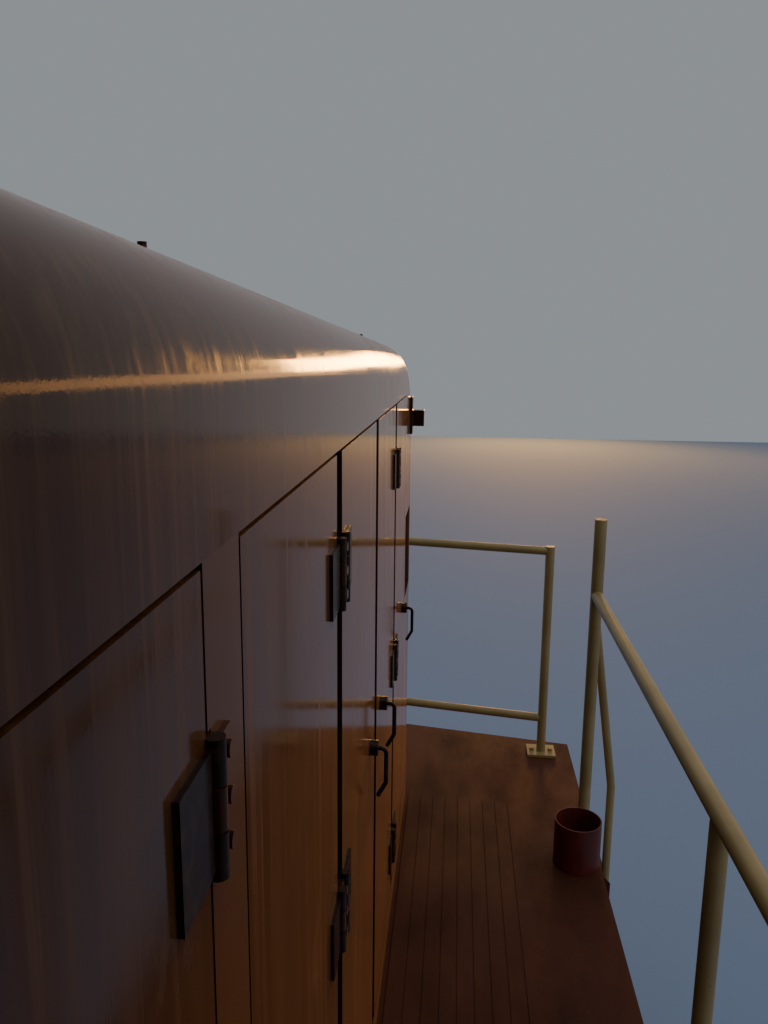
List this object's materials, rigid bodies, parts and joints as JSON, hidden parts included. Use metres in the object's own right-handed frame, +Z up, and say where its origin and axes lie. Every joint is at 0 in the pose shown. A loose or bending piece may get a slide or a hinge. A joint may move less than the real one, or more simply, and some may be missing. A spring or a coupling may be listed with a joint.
{
  "type": "centre-cab diesel switcher locomotive",
  "caption": "Centre-cab diesel switcher on two swivelling trucks, with hinged hood doors, walkways, pipe handrails, corner steps and couplers.",
  "frame": {"origin": "under the middle of the locomotive, on the plane that the wheel flanges' lowest points touch", "axes": "+X along the track towards the hood in the picture, +Y across to the left of it, +Z up"},
  "size_m": [12.3, 3.264, 4.2299],
  "materials": {
    "hood_paint": "glossy, streaked with dirt",
    "deck_paint": "satin, worn",
    "rail_paint": "semi-gloss",
    "gear_paint": "matt, dusty",
    "pot_paint": "satin",
    "wheel_steel": "rolled steel with polished treads",
    "coupler_iron": "rough casting",
    "window_glass": "clear",
    "cab_lining": "satin",
    "seat_cover": "smooth"
  },
  "bodies": {
    "locomotive": {"deck_plate": "deck_paint", "tread_planks": "deck_paint", "underframe": "deck_paint", "end_sills": "deck_paint", "step_ladders": "deck_paint", "fuel_tank": "gear_paint", "air_reservoirs": "gear_paint", "handrail_posts": "rail_paint", "handrails": "rail_paint", "deck_pot": "pot_paint", "hood_roofs": "hood_paint", "hood_ends": "hood_paint", "radiator_grilles": "gear_paint", "hood_posts": "hood_paint", "hood_sills": "hood_paint", "engines": "gear_paint", "headlights": "hood_paint", "exhaust_stacks": "hood_paint", "corner_lamps": "hood_paint", "corner_grabs": "hood_paint", "cab_floor": "cab_lining", "cab_sides": "hood_paint", "cab_roof": "hood_paint", "cab_ends": "hood_paint", "cab_glass": "window_glass", "cab_seats": "seat_cover", "control_stand": "cab_lining", "horn": "hood_paint"},
    "door_front_right_1": {"door_front_right_1": "hood_paint"},
    "door_front_right_2": {"door_front_right_2": "hood_paint"},
    "door_front_right_3": {"door_front_right_3": "hood_paint"},
    "door_front_right_4": {"door_front_right_4": "hood_paint"},
    "door_front_right_5": {"door_front_right_5": "hood_paint"},
    "door_front_left_1": {"door_front_left_1": "hood_paint"},
    "door_front_left_2": {"door_front_left_2": "hood_paint"},
    "door_front_left_3": {"door_front_left_3": "hood_paint"},
    "door_front_left_4": {"door_front_left_4": "hood_paint"},
    "door_front_left_5": {"door_front_left_5": "hood_paint"},
    "door_rear_right_1": {"door_rear_right_1": "hood_paint"},
    "door_rear_right_2": {"door_rear_right_2": "hood_paint"},
    "door_rear_right_3": {"door_rear_right_3": "hood_paint"},
    "door_rear_right_4": {"door_rear_right_4": "hood_paint"},
    "door_rear_right_5": {"door_rear_right_5": "hood_paint"},
    "door_rear_left_1": {"door_rear_left_1": "hood_paint"},
    "door_rear_left_2": {"door_rear_left_2": "hood_paint"},
    "door_rear_left_3": {"door_rear_left_3": "hood_paint"},
    "door_rear_left_4": {"door_rear_left_4": "hood_paint"},
    "door_rear_left_5": {"door_rear_left_5": "hood_paint"},
    "cab_door_front": {"cab_door_front": "hood_paint"},
    "truck_front": {"truck_frame_front": "gear_paint", "truck_springs_front": "gear_paint"},
    "coupler_front": {"coupler_front": "coupler_iron"},
    "cab_door_rear": {"cab_door_rear": "hood_paint"},
    "truck_rear": {"truck_frame_rear": "gear_paint", "truck_springs_rear": "gear_paint"},
    "coupler_rear": {"coupler_rear": "coupler_iron"},
    "wheelset_1": {"wheelset_1": "wheel_steel"},
    "wheelset_2": {"wheelset_2": "wheel_steel"},
    "wheelset_3": {"wheelset_3": "wheel_steel"},
    "wheelset_4": {"wheelset_4": "wheel_steel"}
  },
  "joints": [
    {"name": "door_front_right_1_hinge", "type": "hinge", "parent": "locomotive", "child": "door_front_right_1", "pos_m": [1.949, -0.731, 2.4], "axis": [0, 0, 1], "range_deg": [0, 90]},
    {"name": "door_front_right_2_hinge", "type": "hinge", "parent": "locomotive", "child": "door_front_right_2", "pos_m": [2.668, -0.731, 2.4], "axis": [0, 0, 1], "range_deg": [0, 90]},
    {"name": "door_front_right_3_hinge", "type": "hinge", "parent": "locomotive", "child": "door_front_right_3", "pos_m": [2.72, -0.731, 2.4], "axis": [0, 0, -1], "range_deg": [0, 90]},
    {"name": "door_front_right_4_hinge", "type": "hinge", "parent": "locomotive", "child": "door_front_right_4", "pos_m": [3.939, -0.731, 2.4], "axis": [0, 0, 1], "range_deg": [0, 90]},
    {"name": "door_front_right_5_hinge", "type": "hinge", "parent": "locomotive", "child": "door_front_right_5", "pos_m": [3.982, -0.731, 2.4], "axis": [0, 0, -1], "range_deg": [0, 90]},
    {"name": "door_front_left_1_hinge", "type": "hinge", "parent": "locomotive", "child": "door_front_left_1", "pos_m": [1.949, 0.731, 2.4], "axis": [0, 0, -1], "range_deg": [0, 90]},
    {"name": "door_front_left_2_hinge", "type": "hinge", "parent": "locomotive", "child": "door_front_left_2", "pos_m": [2.668, 0.731, 2.4], "axis": [0, 0, -1], "range_deg": [0, 90]},
    {"name": "door_front_left_3_hinge", "type": "hinge", "parent": "locomotive", "child": "door_front_left_3", "pos_m": [2.72, 0.731, 2.4], "axis": [0, 0, 1], "range_deg": [0, 90]},
    {"name": "door_front_left_4_hinge", "type": "hinge", "parent": "locomotive", "child": "door_front_left_4", "pos_m": [3.939, 0.731, 2.4], "axis": [0, 0, -1], "range_deg": [0, 90]},
    {"name": "door_front_left_5_hinge", "type": "hinge", "parent": "locomotive", "child": "door_front_left_5", "pos_m": [3.982, 0.731, 2.4], "axis": [0, 0, 1], "range_deg": [0, 90]},
    {"name": "door_rear_right_1_hinge", "type": "hinge", "parent": "locomotive", "child": "door_rear_right_1", "pos_m": [-1.949, -0.731, 2.4], "axis": [0, 0, -1], "range_deg": [0, 90]},
    {"name": "door_rear_right_2_hinge", "type": "hinge", "parent": "locomotive", "child": "door_rear_right_2", "pos_m": [-2.668, -0.731, 2.4], "axis": [0, 0, -1], "range_deg": [0, 90]},
    {"name": "door_rear_right_3_hinge", "type": "hinge", "parent": "locomotive", "child": "door_rear_right_3", "pos_m": [-2.72, -0.731, 2.4], "axis": [0, 0, 1], "range_deg": [0, 90]},
    {"name": "door_rear_right_4_hinge", "type": "hinge", "parent": "locomotive", "child": "door_rear_right_4", "pos_m": [-3.939, -0.731, 2.4], "axis": [0, 0, -1], "range_deg": [0, 90]},
    {"name": "door_rear_right_5_hinge", "type": "hinge", "parent": "locomotive", "child": "door_rear_right_5", "pos_m": [-3.982, -0.731, 2.4], "axis": [0, 0, 1], "range_deg": [0, 90]},
    {"name": "door_rear_left_1_hinge", "type": "hinge", "parent": "locomotive", "child": "door_rear_left_1", "pos_m": [-1.949, 0.731, 2.4], "axis": [0, 0, 1], "range_deg": [0, 90]},
    {"name": "door_rear_left_2_hinge", "type": "hinge", "parent": "locomotive", "child": "door_rear_left_2", "pos_m": [-2.668, 0.731, 2.4], "axis": [0, 0, 1], "range_deg": [0, 90]},
    {"name": "door_rear_left_3_hinge", "type": "hinge", "parent": "locomotive", "child": "door_rear_left_3", "pos_m": [-2.72, 0.731, 2.4], "axis": [0, 0, -1], "range_deg": [0, 90]},
    {"name": "door_rear_left_4_hinge", "type": "hinge", "parent": "locomotive", "child": "door_rear_left_4", "pos_m": [-3.939, 0.731, 2.4], "axis": [0, 0, 1], "range_deg": [0, 90]},
    {"name": "door_rear_left_5_hinge", "type": "hinge", "parent": "locomotive", "child": "door_rear_left_5", "pos_m": [-3.982, 0.731, 2.4], "axis": [0, 0, -1], "range_deg": [0, 90]},
    {"name": "cab_door_front_hinge", "type": "hinge", "parent": "locomotive", "child": "cab_door_front", "pos_m": [1.2, -1.39, 2.8], "axis": [0, 0, 1], "range_deg": [0, 90]},
    {"name": "truck_front_swivel", "type": "hinge", "parent": "locomotive", "child": "truck_front", "pos_m": [3.1, 0, 1.02], "axis": [0, 0, 1], "range_deg": [-6, 6]},
    {"name": "coupler_front_swing", "type": "hinge", "parent": "locomotive", "child": "coupler_front", "pos_m": [4.75, 0, 0.904], "axis": [0, 0, 1], "range_deg": [-7, 7]},
    {"name": "cab_door_rear_hinge", "type": "hinge", "parent": "locomotive", "child": "cab_door_rear", "pos_m": [-1.2, 1.39, 2.8], "axis": [0, 0, 1], "range_deg": [0, 90]},
    {"name": "truck_rear_swivel", "type": "hinge", "parent": "locomotive", "child": "truck_rear", "pos_m": [-3.1, 0, 1.02], "axis": [0, 0, 1], "range_deg": [-6, 6]},
    {"name": "coupler_rear_swing", "type": "hinge", "parent": "locomotive", "child": "coupler_rear", "pos_m": [-4.75, 0, 0.904], "axis": [0, 0, 1], "range_deg": [-7, 7]},
    {"name": "wheelset_1_roll", "type": "hinge", "parent": "truck_front", "child": "wheelset_1", "pos_m": [4.2, 0, 0.536], "axis": [0, 1, 0], "continuous": true},
    {"name": "wheelset_2_roll", "type": "hinge", "parent": "truck_front", "child": "wheelset_2", "pos_m": [2, 0, 0.536], "axis": [0, 1, 0], "continuous": true},
    {"name": "wheelset_3_roll", "type": "hinge", "parent": "truck_rear", "child": "wheelset_3", "pos_m": [-2, 0, 0.536], "axis": [0, 1, 0], "continuous": true},
    {"name": "wheelset_4_roll", "type": "hinge", "parent": "truck_rear", "child": "wheelset_4", "pos_m": [-4.2, 0, 0.536], "axis": [0, 1, 0], "continuous": true}
  ]
}
